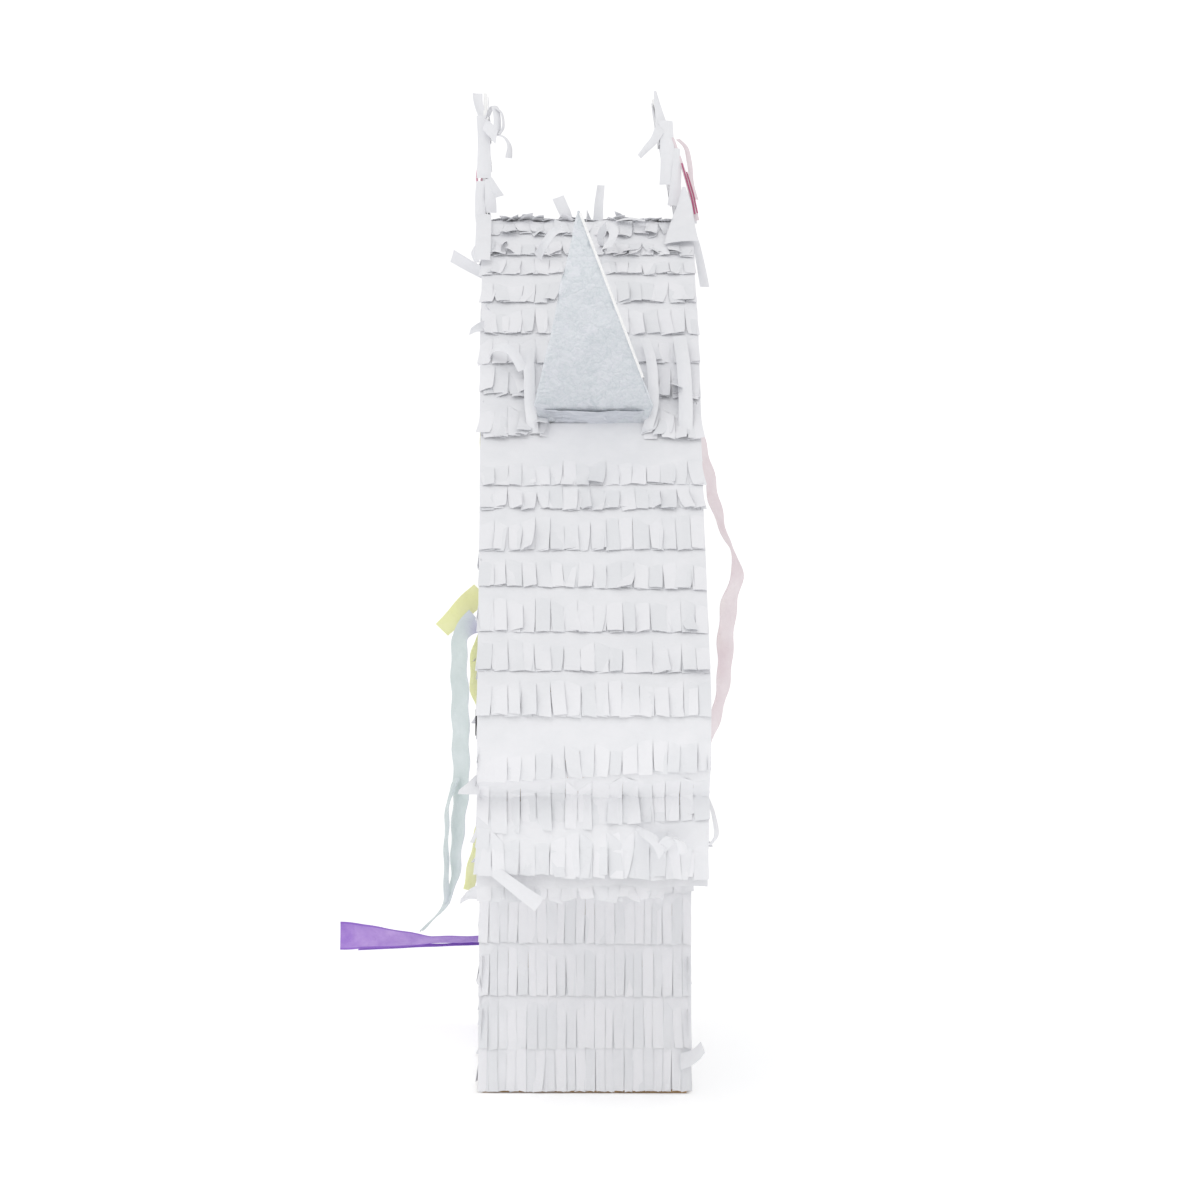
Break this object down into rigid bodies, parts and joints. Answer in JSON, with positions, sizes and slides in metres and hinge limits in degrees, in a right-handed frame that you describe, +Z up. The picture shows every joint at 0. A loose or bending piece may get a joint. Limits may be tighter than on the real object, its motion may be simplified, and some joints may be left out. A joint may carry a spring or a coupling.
{
  "type": "pinata",
  "caption": "Unicorn-head party pinata of corrugated board in fringed white crepe, with a paper horn, folding card ears, a creased fill flap and a streamer mane.",
  "frame": {"origin": "middle of the flat base that the neck stands on", "axes": "+Z up, the nose points to -Y, +X is on the right of someone who faces the nose"},
  "size_m": [0.1891, 0.329, 0.437],
  "materials": {
    "board": "matt kraft liner",
    "card_white": "matt",
    "crepe_white": "matt, creped",
    "foil_paper": "silver, crinkled",
    "tissue_rose": "matt, creped",
    "paper_pink": "matt, creped",
    "paper_yellow": "matt, creped",
    "paper_mint": "matt, creped",
    "paper_purple": "creped, slight sheen",
    "card_black": "matt",
    "gummed_tape": "matt"
  },
  "bodies": {
    "shell": {"base_board": "board", "bridge_board": "board", "chin_board": "board", "crepe_crest": "crepe_white", "crepe_crown": "crepe_white", "crepe_face": "crepe_white", "crepe_jaw": "crepe_white", "crepe_neck_front": "crepe_white", "crepe_side_left": "crepe_white", "crepe_side_right": "crepe_white", "crest_board": "board", "crown_board": "board", "ear_left_tab": "card_white", "ear_right_tab": "card_white", "eye_left": "card_black", "eye_right": "card_black", "hang_plate": "board", "horn_card": "card_white", "horn_foil": "foil_paper", "horn_tabs": "card_white", "jaw_board": "board", "lip_board": "board", "mane_binding_left": "card_white", "mane_binding_right": "card_white", "neck_front_board": "board", "nostril_left": "card_black", "nostril_right": "card_black", "ribbon_purple": "paper_purple", "seam_tape_left": "gummed_tape", "seam_tape_right": "gummed_tape", "side_panel_left": "board", "side_panel_right": "board", "streamer_mint_back": "paper_mint", "streamer_mint_left": "paper_mint", "streamer_mint_out": "paper_mint", "streamer_mint_right": "paper_mint", "streamer_pink_back": "paper_pink", "streamer_pink_left": "paper_pink", "streamer_pink_out": "paper_pink", "streamer_purple_back": "paper_purple", "streamer_purple_left": "paper_purple", "streamer_purple_right": "paper_purple", "streamer_yellow_back": "paper_yellow", "streamer_yellow_left_over": "paper_yellow", "streamer_yellow_low": "paper_yellow", "streamer_yellow_out": "paper_yellow", "streamer_yellow_right": "paper_yellow"},
    "left_ear": {"ear_left_card": "card_white", "ear_left_crepe": "crepe_white", "ear_left_lining": "tissue_rose"},
    "right_ear": {"ear_right_card": "card_white", "ear_right_crepe": "crepe_white", "ear_right_lining": "tissue_rose"},
    "fill_flap": {"fill_flap_board": "board", "fill_flap_crepe": "crepe_white", "fill_flap_pull_tab": "card_white"}
  },
  "joints": [
    {"name": "left_ear_crease", "type": "hinge", "parent": "shell", "child": "left_ear", "pos_m": [-0.0458, 0.006, 0.374], "axis": [0, 1, 0], "range_deg": [-35, 16]},
    {"name": "right_ear_crease", "type": "hinge", "parent": "shell", "child": "right_ear", "pos_m": [0.0458, 0.006, 0.374], "axis": [0, -1, 0], "range_deg": [-40, 3]},
    {"name": "fill_flap_crease", "type": "hinge", "parent": "shell", "child": "fill_flap", "pos_m": [0, 0.034, 0.374], "axis": [-1, 0, 0], "range_deg": [0, 110]}
  ]
}
